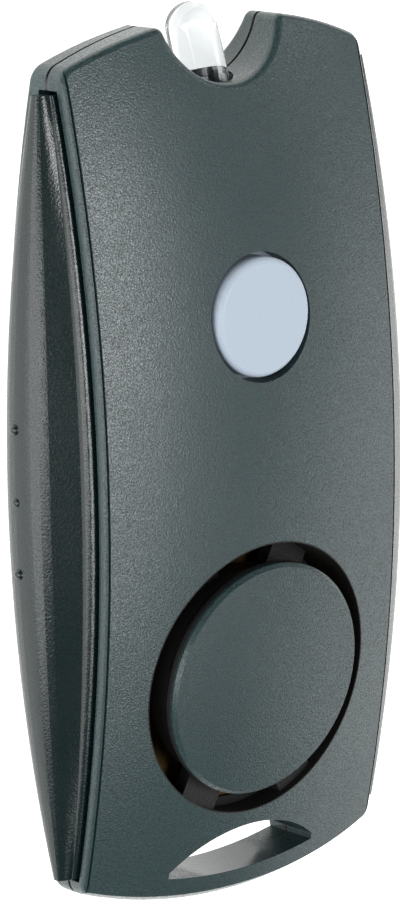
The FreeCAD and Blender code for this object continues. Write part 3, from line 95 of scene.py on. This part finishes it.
# Moulded plastics: a spark-eroded mould leaves an even grain that breaks the highlights into fine sparks.
# Real spark grain is about 0.1 mm, and it is drawn nearly twice as coarse so that it shows.
grainLook = {
    "grainDetail": 1.0, "grainRoughness": 0.4, "fineDetail": 1.5,  # rounded pits, with finer ones among them
    "flowMm": 9, "flowDetail": 2.0, "flowRange": (0.3, 0.7),  # slow change of gloss as the resin flowed
    "fleckRange": (0.33, 0.67),  # a narrower range makes harder flecks
    "edgeMm": 0.05,  # soft edge of a round shade
}
plastics = {
    "mouldedAbs": {  # shells: near-black grey with a trace of green and a broad soft sheen
        "nodes": ["front_shell", "back_shell", "battery_cover"],
        "base": "#0c1c1d", "fleck": "#384e50", "roughness": 0.34, "roughSpread": 0.05, "ior": 1.53,
        "grainMm": 0.19, "fineMm": 0.15, "fineShare": 0.7, "depthMm": 0.019, "sparkle": 0.24,
        "chamber": {  # round the siren disc: painted shade, near black where the chamber lies in shadow, and unpolished; its brim falls with the bowed face
            "y": -20.6, "radius": 13.55, "slope": 0.125, "top": 16.85, "soft": 0.35,
            # painted shade: base is the near-black colour painted over the chamber for its shadow; duller
            # makes it rougher
            "base": "#030404", "duller": 0.40,
        },
        "seam": {"low": 6.83, "high": 7.17, "soft": 0.02, "base": "#010101"},  # parting line: painted shade, a black band for the shadow in the gap between the shells
        "slot": {  # keyring slot: glossy walls left by a smooth core, where two rounds overlap
            "upperY": -49.2, "upperRadius": 13.65, "lowerY": -1.8, "lowerRadius": 38.55, "roughness": 0.14,
        },
    },
    "shadedAbsBar": {  # squeeze bars: the shells' resin painted darker as painted shade over the bars, and a little smoother
        "nodes": ["left_squeeze_bar", "right_squeeze_bar"],
        "base": "#040e0f", "fleck": "#132728", "roughness": 0.24, "roughSpread": 0.04, "ior": 1.56,
        "grainMm": 0.22, "fineMm": 0.15, "fineShare": 0.7, "depthMm": 0.016, "sparkle": 0.18,
    },
    "satinAcetal": {  # lamp button: pale and slightly waxy, with a soft broad highlight
        "nodes": ["lamp_button"],
        "base": "#b0bdcb", "fleck": "#b6c4d3", "roughness": 0.45, "roughSpread": 0.04, "ior": 1.48,
        "grainMm": 0.35, "fineMm": 0.14, "fineShare": 0.3, "depthMm": 0.006, "sparkle": 0.03,
    },
    "mouldedNylon": {  # switch and clamp ring: dull black, with hardly any highlight
        "nodes": ["switch_plunger", "button_switch", "sounder_clamp_ring"],
        "base": "#101111", "fleck": "#161717", "roughness": 0.60, "roughSpread": 0.06, "ior": 1.53,
        "grainMm": 0.30, "fineMm": 0.12, "fineShare": 0.3, "depthMm": 0.006, "sparkle": 0.03,
    },
    "mouldedEpoxy": {  # chip bodies: charcoal with a dusty skin
        "nodes": ["driver_chip", "drive_transistor", "chip_resistors"],
        "base": "#1c1d1e", "fleck": "#252628", "roughness": 0.62, "roughSpread": 0.08, "ior": 1.55,
        "grainMm": 0.20, "fineMm": 0.10, "fineShare": 0.3, "depthMm": 0.006, "sparkle": 0.03,
    },
    "extrudedPvc": {  # sounder leads: a red sleeve with a long wet highlight
        "nodes": ["sounder_leads"],
        "base": "#9a1512", "fleck": "#a91d17", "roughness": 0.32, "roughSpread": 0.04, "ior": 1.54,
        "grainMm": 0.50, "fineMm": 0.20, "fineShare": 0.3, "depthMm": 0.003, "sparkle": 0.03,
    },
}


def heldBetween(tree, value, low, high, soft):  # 1 from low to high in mm, falling to 0 over the soft edge
    rise = addNode(tree, "ShaderNodeMapRange", {
        "Value": value, "From Min": (low - soft) * mm, "From Max": low * mm,
    })
    drop = addNode(tree, "ShaderNodeMapRange", {
        "Value": value, "From Min": high * mm, "From Max": (high + soft) * mm, "To Min": 1.0, "To Max": 0.0,
    })
    both = {0: rise.outputs["Result"], 1: drop.outputs["Result"]}
    return addNode(tree, "ShaderNodeMath", both, operation="MULTIPLY").outputs[0]


def withinRound(tree, parts, centreY, radius):  # 1 inside a circle on the centre line, seen from the front
    along = addNode(tree, "ShaderNodeMath", {0: parts.outputs["Y"], 1: centreY * mm}, operation="SUBTRACT")
    flat = addNode(tree, "ShaderNodeCombineXYZ", {"X": parts.outputs["X"], "Y": along.outputs[0]})
    away = addNode(tree, "ShaderNodeVectorMath", {0: flat.outputs["Vector"]}, operation="LENGTH")
    return heldBetween(tree, away.outputs["Value"], 0, radius, grainLook["edgeMm"])


# Paints shade into the siren chamber and along the parting line, and makes the keyring slot glossy
def shadeRecesses(tree, place, look, colour, rough):  # last it gives the share of the grain that is kept
    chamber, seam, slot = look["chamber"], look["seam"], look["slot"]
    parts = addNode(tree, "ShaderNodeSeparateXYZ", {"Vector": place})
    height = parts.outputs["Z"]
    level = addNode(tree, "ShaderNodeMath", {0: parts.outputs["Y"], 1: -chamber["slope"], 2: height},
                    operation="MULTIPLY_ADD")
    chamberShadeMask = addNode(tree, "ShaderNodeMath", {
        0: withinRound(tree, parts, chamber["y"], chamber["radius"]),
        1: heldBetween(tree, level.outputs[0], 0, chamber["top"], chamber["soft"]),
    }, operation="MULTIPLY").outputs[0]
    seamShadeMask = heldBetween(tree, height, seam["low"], seam["high"], seam["soft"])
    inSlot = addNode(tree, "ShaderNodeMath", {
        0: withinRound(tree, parts, slot["upperY"], slot["upperRadius"]),
        1: withinRound(tree, parts, slot["lowerY"], slot["lowerRadius"]),
    }, operation="MULTIPLY").outputs[0]
    # painted shade: near-black colour laid over the chamber and the parting line, where shade falls
    for mask, paintedShade in ((chamberShadeMask, chamber), (seamShadeMask, seam)):
        shaded = {"Factor": mask, 6: colour, 7: linear(paintedShade["base"])}
        colour = addNode(tree, "ShaderNodeMix", shaded, data_type="RGBA").outputs[2]
    rough = addNode(tree, "ShaderNodeMath", {0: chamberShadeMask, 1: chamber["duller"], 2: rough},
                    operation="MULTIPLY_ADD").outputs[0]
    kept = addNode(tree, "ShaderNodeMath", {0: 1.0, 1: inSlot}, operation="SUBTRACT").outputs[0]
    rough = addNode(tree, "ShaderNodeMath", {0: rough, 1: kept}, operation="MULTIPLY").outputs[0]
    rough = addNode(tree, "ShaderNodeMath", {0: inSlot, 1: slot["roughness"], 2: rough},
                    operation="MULTIPLY_ADD").outputs[0]
    return colour, rough, kept


def mouldedPlastic(name, look):
    material, tree, shader = newMaterial(name)
    place = addNode(tree, "ShaderNodeTexCoord").outputs["Object"]
    grain = addNode(tree, "ShaderNodeTexNoise", {
        "Vector": place, "Scale": 1 / (look["grainMm"] * mm),
        "Detail": grainLook["grainDetail"], "Roughness": grainLook["grainRoughness"],
    }).outputs["Fac"]
    fine = addNode(tree, "ShaderNodeTexNoise", {
        "Vector": place, "Scale": 1 / (look["fineMm"] * mm), "Detail": grainLook["fineDetail"],
    }).outputs["Fac"]
    flow = addNode(tree, "ShaderNodeTexNoise", {
        "Vector": place, "Scale": 1 / (grainLook["flowMm"] * mm), "Detail": grainLook["flowDetail"],
    }).outputs["Fac"]
    low, high = grainLook["fleckRange"]
    tone = addNode(tree, "ShaderNodeMapRange", {"Value": fine, "From Min": low, "From Max": high})
    flecks = {"Factor": tone.outputs["Result"], 6: linear(look["base"]), 7: linear(look["fleck"])}
    colour = addNode(tree, "ShaderNodeMix", flecks, data_type="RGBA").outputs[2]
    low, high = grainLook["flowRange"]
    half = look["roughSpread"] / 2
    rough = addNode(tree, "ShaderNodeMapRange", {
        "Value": flow, "From Min": low, "From Max": high,
        "To Min": look["roughness"] - half, "To Max": look["roughness"] + half,
    }).outputs["Result"]
    sparkle = addNode(tree, "ShaderNodeMath", {  # fleck by fleck a little glossier or duller
        0: tone.outputs["Result"], 1: -look["sparkle"], 2: look["sparkle"] / 2,
    }, operation="MULTIPLY_ADD").outputs[0]
    rough = addNode(tree, "ShaderNodeMath", {0: rough, 1: sparkle}, operation="ADD").outputs[0]
    height = addNode(tree, "ShaderNodeMath", {0: fine, 1: look["fineShare"], 2: grain},
                     operation="MULTIPLY_ADD").outputs[0]
    bump = addNode(tree, "ShaderNodeBump", {
        "Height": height, "Strength": 1.0, "Distance": look["depthMm"] * mm,
    })
    if "chamber" in look:
        colour, rough, kept = shadeRecesses(tree, place, look, colour, rough)
        feed(tree, bump, {"Strength": kept})
    feed(tree, shader, {
        "Base Color": colour, "Roughness": rough, "Normal": bump.outputs["Normal"], "IOR": look["ior"],
    })
    return material


for name, look in plastics.items():
    dress(mouldedPlastic(name, look), look["nodes"])
print("plastics on")

# Metals: rolling, plating or drawing leaves lines or a soft mottle in the reflections. The real marks are
# about 0.05 mm wide, and they are drawn ten times as coarse so that they show. Stretch is how many times
# closer they lie along X, Y and Z.
metalMarks = {
    "markMm": 0.5, "detail": 3.0, "strength": 0.25, "depthMm": 0.01,
    "glossier": 0.06, "duller": 0.08,  # how far the marks take the roughness down and up
}
metals = {
    "shadedRolledBrass": {  # sounder plate: brass painted dark as painted shade for the deep gap it sits in, leaving a faint warm glint
        "nodes": ["sounder_plate"],
        "base": "#6e5a35", "deep": "#4f4026", "roughness": 0.42, "stretch": (1, 1, 8),
    },
    "rolledBronze": {  # contact leaves: warm strips with lines along their length
        "nodes": ["left_contact_leaf", "right_contact_leaf"],
        "base": "#c39a66", "deep": "#9f7745", "roughness": 0.34, "stretch": (1, 1, 8),
    },
    "nickelPlatedSteel": {  # cells and their contacts: bright, slightly yellow, with clear reflections
        "nodes": ["button_cells", "positive_contact", "negative_contact", "battery_spring"],
        "base": "#b9b8b2", "deep": "#98968f", "roughness": 0.24, "stretch": (1, 1, 1),
    },
    "tinnedCopper": {  # lamp leads and what stands in the lamp: pale grey, blurred reflections
        "nodes": ["lamp_leads"],
        "base": "#c3c5c8", "deep": "#a6a8ab", "roughness": 0.32, "stretch": (1, 1, 1),
    },
    "zincPlatedSteel": {  # screws: dark passivated grey with a dull glint
        "nodes": ["case_screws", "cover_screw"],
        "base": "#55565a", "deep": "#3b3c40", "roughness": 0.36, "stretch": (1, 1, 1),
    },
    "enamelledCopper": {  # coil: orange-brown under a clear enamel, lines turn by turn
        "nodes": ["coil_winding"],
        "base": "#b4632f", "deep": "#8e4a1f", "roughness": 0.26, "stretch": (1, 1, 12),
    },
}


def metal(name, look):
    material, tree, shader = newMaterial(name)
    place = addNode(tree, "ShaderNodeTexCoord").outputs["Object"]
    stretched = addNode(tree, "ShaderNodeMapping", {"Vector": place, "Scale": look["stretch"]})
    marks = addNode(tree, "ShaderNodeTexNoise", {
        "Vector": stretched.outputs["Vector"],
        "Scale": 1 / (metalMarks["markMm"] * mm), "Detail": metalMarks["detail"],
    }).outputs["Fac"]
    shades = {"Factor": marks, 6: linear(look["deep"]), 7: linear(look["base"])}
    colour = addNode(tree, "ShaderNodeMix", shades, data_type="RGBA")
    rough = addNode(tree, "ShaderNodeMapRange", {
        "Value": marks, "To Min": look["roughness"] - metalMarks["glossier"],
        "To Max": look["roughness"] + metalMarks["duller"],
    })
    bump = addNode(tree, "ShaderNodeBump", {
        "Height": marks, "Strength": metalMarks["strength"], "Distance": metalMarks["depthMm"] * mm,
    })
    feed(tree, shader, {
        "Base Color": colour.outputs[2], "Roughness": rough.outputs["Result"],
        "Normal": bump.outputs["Normal"], "Metallic": 1.0,
    })
    return material


for name, look in metals.items():
    dress(metal(name, look), look["nodes"])

# Board, ceramics and ferrite: mineral surfaces with a mottle. The real grains are about 0.05 mm, and they
# are drawn eight times as coarse so that they show.
mineralMottle = {"mottleMm": 0.4, "detail": 3.0, "strength": 0.3, "depthMm": 0.01}
minerals = {
    "solderMaskLaminate": {  # circuit board: deep green lacquer over glass cloth, softly glossy
        "nodes": ["circuit_board"], "base": "#14502a", "deep": "#0f3d20", "roughness": 0.35,
    },
    "firedCeramic": {  # sounder's disc: chalky off-white
        "nodes": ["sounder_ceramic"], "base": "#d8d4c8", "deep": "#c6c1b2", "roughness": 0.45,
    },
    "pressedFerrite": {  # coil core: dry graphite grey
        "nodes": ["coil_core"], "base": "#2b2c2e", "deep": "#1f2022", "roughness": 0.6,
    },
    "firedTitanate": {  # chip capacitor: matt tan body
        "nodes": ["chip_capacitor"], "base": "#9c7a4c", "deep": "#87683d", "roughness": 0.5,
    },
}


def mineral(name, look):
    material, tree, shader = newMaterial(name)
    place = addNode(tree, "ShaderNodeTexCoord").outputs["Object"]
    mottle = addNode(tree, "ShaderNodeTexNoise", {
        "Vector": place, "Scale": 1 / (mineralMottle["mottleMm"] * mm), "Detail": mineralMottle["detail"],
    }).outputs["Fac"]
    shades = {"Factor": mottle, 6: linear(look["deep"]), 7: linear(look["base"])}
    colour = addNode(tree, "ShaderNodeMix", shades, data_type="RGBA")
    bump = addNode(tree, "ShaderNodeBump", {
        "Height": mottle, "Strength": mineralMottle["strength"], "Distance": mineralMottle["depthMm"] * mm,
    })
    feed(tree, shader, {
        "Base Color": colour.outputs[2], "Normal": bump.outputs["Normal"], "Roughness": look["roughness"],
    })
    return material


for name, look in minerals.items():
    dress(mineral(name, look), look["nodes"])
print("metals and minerals on")

# Contact leaves: each bowed strip stands on the board and its bar flattens it; a copy of each strip, baked
# in place, stands in for it
leaf = {
    "footMm": 13.4, "slot": "leaf_bronze",
    "sides": {
        "leftLeafStrip": ("left_contact_leaf", "left_bar", -1),
        "rightLeafStrip": ("right_contact_leaf", "right_bar", 1),
    },
}
for name, (node, body, sign) in leaf["sides"].items():
    strip = newObject(name, nodes[node].data.copy())
    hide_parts(node)
    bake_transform(strip)

# Lamp: the die cup, its post and the anvil beside it stand in the resin. Depths are below the cup's rim.
lamp = {
    "domeY": 41.2, "domeZ": 5.9, "tiltDeg": 17.0, "barrelMm": 6.1,  # the dome's centre, the lean, the barrel
    "clear": "#e2e5e7", "roughness": 0.04, "ior": 1.54, "rippleMm": 2.5, "rippleDetail": 1.0,
    "rippleDepthMm": 0.05, "rippleStrength": 0.12,
    "pitchMm": 2.54, "leadMm": 0.5, "footGapMm": 0.05,  # standard leads, ending just inside the barrel
    "rimMm": -4.1, "cupRadiusMm": 0.75, "sides": 24,  # the cup's rim is below the dome's centre
    "cup": [(0, 0.8), (0.7, 0.8), (1, 0), (0.82, 0), (0.5, 0.4), (0, 0.4)],  # share of radius, depth in mm
    "postShoulderMm": 0.5, "postTipMm": 0.1, "postTipShare": 0.4,
    "anvilRightMm": 0.25, "anvilLeftMm": -0.75, "anvilTopMm": 0.75, "anvilTipMm": 1.2,
    "anvilUnderMm": 1.4, "anvilBackMm": 1.5,
}


def castEpoxy():  # lamp: water-clear, glassy, with faint ripples from shrinking in its cup
    material, tree, shader = newMaterial("castEpoxy")
    place = addNode(tree, "ShaderNodeTexCoord").outputs["Object"]
    ripple = addNode(tree, "ShaderNodeTexNoise", {
        "Vector": place, "Scale": 1 / (lamp["rippleMm"] * mm), "Detail": lamp["rippleDetail"],
    })
    bump = addNode(tree, "ShaderNodeBump", {
        "Height": ripple.outputs["Fac"], "Strength": lamp["rippleStrength"],
        "Distance": lamp["rippleDepthMm"] * mm,
    })
    feed(tree, shader, {
        "Base Color": linear(lamp["clear"]), "Roughness": lamp["roughness"], "IOR": lamp["ior"],
        "Transmission Weight": 1.0, "Normal": bump.outputs["Normal"],
    })
    return material


dress(castEpoxy(), ["lamp"])
tilt = math.radians(lamp["tiltDeg"])
lampAlong = Vector((0, math.cos(tilt), -math.sin(tilt)))
lampUp = Vector((0, math.sin(tilt), math.cos(tilt)))
lampFrame = axesAt((0, lamp["domeY"] * mm, lamp["domeZ"] * mm), Vector((1, 0, 0)), lampUp, lampAlong)


def closedMesh(name, mesh):
    bmesh.ops.recalc_face_normals(mesh, faces=mesh.faces)
    data = bpy.data.meshes.new(name)
    mesh.to_mesh(data)
    mesh.free()
    return data


def turnedMesh(name, profile, sides):  # a profile of radii and heights, turned; a radius of 0 is one point
    mesh = bmesh.new()
    turns = [2 * math.pi * i / sides for i in range(sides)]
    rings = []
    for radius, height in profile:
        spots = [(radius * mm * math.cos(turn), radius * mm * math.sin(turn)) for turn in turns]
        rings.append([mesh.verts.new((x, y, height * mm)) for x, y in (spots if radius else spots[:1])])
    for low, high in zip(rings, rings[1:]):
        for i in range(sides):
            j = (i + 1) % sides
            if len(low) == 1:
                mesh.faces.new((low[0], high[j], high[i]))
            elif len(high) == 1:
                mesh.faces.new((low[i], low[j], high[0]))
            else:
                mesh.faces.new((low[i], low[j], high[j], high[i]))
    return closedMesh(name, mesh)


def stampedMesh(name, corners, thick):  # an outline stamped from strip, with corners in X and Z
    mesh = bmesh.new()
    deep = thick / 2 * mm
    front = [mesh.verts.new((x * mm, -deep, z * mm)) for x, z in corners]
    back = [mesh.verts.new((x * mm, deep, z * mm)) for x, z in corners]
    mesh.faces.new(front)
    mesh.faces.new(list(reversed(back)))
    for i in range(len(corners)):
        j = (i + 1) % len(corners)
        mesh.faces.new((front[i], back[i], back[j], front[j]))
    return closedMesh(name, mesh)


def lampPiece(name, data):
    piece = newObject(name, data)
    piece.data.materials.append(bpy.data.materials["tinnedCopper"])
    piece.matrix_world = lampFrame
    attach(piece, "housing")


rim = lamp["rimMm"]
foot = lamp["footGapMm"] - lamp["barrelMm"]
half = lamp["leadMm"] / 2
post = lamp["pitchMm"] / 2
anvil = -post
lampPiece("lampCup", turnedMesh("lampCup", [
    (share * lamp["cupRadiusMm"], rim - depth) for share, depth in lamp["cup"]
], lamp["sides"]))
lampPiece("lampPost", stampedMesh("lampPost", [
    (post - half, foot), (post + half, foot), (post + half, rim - lamp["postShoulderMm"]),
    (post + half * lamp["postTipShare"], rim - lamp["postTipMm"]), (post - half, rim - lamp["postTipMm"]),
], lamp["leadMm"]))
lampPiece("lampAnvil", stampedMesh("lampAnvil", [
    (anvil - half, foot), (anvil + half, foot), (anvil + half, rim - lamp["anvilUnderMm"]),
    (lamp["anvilRightMm"], rim - lamp["anvilTipMm"]), (lamp["anvilRightMm"], rim - lamp["anvilTopMm"]),
    (lamp["anvilLeftMm"], rim - lamp["anvilTopMm"]), (anvil - half, rim - lamp["anvilBackMm"]),
], lamp["leadMm"]))
print("lamp dressed")

# Studio: a glowing pale table, a strip of three soft lights overhead, four dimmer panels round it,
# and the camera at the photograph's angle
studio = {
    "floorReachMm": 3000, "floor": "#f4f4f2", "floorRoughness": 0.9, "floorGlow": 1.1,
    "world": "#ffffff", "worldStrength": 0.10,
    "lights": [
        {"name": "stripNearLamp", "from": (0.21, 0.09, 0.975), "softDeg": 20, "strength": 0.92},
        {"name": "stripMiddle", "from": (0.19, -0.15, 0.97), "softDeg": 18, "strength": 0.46},
        {"name": "stripNearRing", "from": (0.19, -0.36, 0.91), "softDeg": 18, "strength": 0.36},
        {"name": "rightPanel", "from": (0.87, -0.29, 0.40), "softDeg": 42, "strength": 0.80},
        {"name": "leftPanel", "from": (-0.93, -0.08, 0.34), "softDeg": 44, "strength": 1.6},
        {"name": "leftUpperPanel", "from": (-0.64, -0.07, 0.76), "softDeg": 24, "strength": 0.56},
        {"name": "endPanel", "from": (0.78, 0.36, 0.51), "softDeg": 24, "strength": 0.34},
    ],
    "camera": {
        "crest": (0, 0, 16.0), "towardsEye": (-0.64525, 0.21943, 0.73178), "distanceMm": 399.2,
        "rollDeg": -1.0116, "sensorMm": 36.0, "focalPx": 4231.0, "nearestMm": 10,
        "crestPx": (270.21, 470.96), "framePx": (400, 906),  # the crest's place in the photograph
    },
}
floorData = bpy.data.meshes.new("floor")
reach = studio["floorReachMm"] * mm
floorData.from_pydata([(-reach, -reach, 0), (reach, -reach, 0), (reach, reach, 0), (-reach, reach, 0)], [],
                      [(0, 1, 2, 3)])
floor = newObject("floor", floorData)
backlit, floorTree, floorShader = newMaterial("backlitAcrylic")  # even white glow, so shadows wash out
feed(floorTree, floorShader, {
    "Base Color": linear(studio["floor"]), "Roughness": studio["floorRoughness"],
    "Emission Color": linear(studio["floor"]), "Emission Strength": studio["floorGlow"],
})
floorData.materials.append(backlit)

for panel in studio["lights"]:
    data = bpy.data.lights.new(panel["name"], "SUN")
    data.angle = math.radians(panel["softDeg"])  # as wide as the panel looks from the object
    data.energy = panel["strength"]
    light = newObject(panel["name"], data)
    light.rotation_mode = "QUATERNION"
    light.rotation_quaternion = (-Vector(panel["from"])).to_track_quat("-Z", "Y")

world = bpy.data.worlds.new("studioWorld")
world.use_nodes = True
feed(world.node_tree, world.node_tree.nodes["Background"], {
    "Color": linear(studio["world"]), "Strength": studio["worldStrength"],
})
bpy.context.scene.world = world
bpy.context.scene.view_settings.view_transform = "Standard"

view = studio["camera"]
towardsEye = Vector(view["towardsEye"]).normalized()
level = Vector((towardsEye.z, 0, -towardsEye.x)).normalized()
up = towardsEye.cross(level)
roll = math.radians(view["rollDeg"])
right = math.cos(roll) * level + math.sin(roll) * up
upright = -math.sin(roll) * level + math.cos(roll) * up
eye = (Vector(view["crest"]) + towardsEye * view["distanceMm"]) * mm
shiftX = (view["framePx"][0] / 2 - view["crestPx"][0]) / view["focalPx"]
shiftY = (view["crestPx"][1] - view["framePx"][1] / 2) / view["focalPx"]
ahead = (-towardsEye + right * shiftX + upright * shiftY).normalized()  # the crest lies off centre
side = ahead.cross(upright).normalized()
cameraData = bpy.data.cameras.new("camera")
cameraData.sensor_fit = "AUTO"  # the sensor's width spans the longer side of the picture
cameraData.sensor_width = view["sensorMm"]
cameraData.lens = view["sensorMm"] * view["focalPx"] / view["framePx"][1]
cameraData.clip_start = view["nearestMm"] * mm
camera = newObject("camera", cameraData)
camera.matrix_world = axesAt(eye, side, side.cross(ahead), -ahead)
bpy.context.scene.camera = camera
print("studio and camera set")
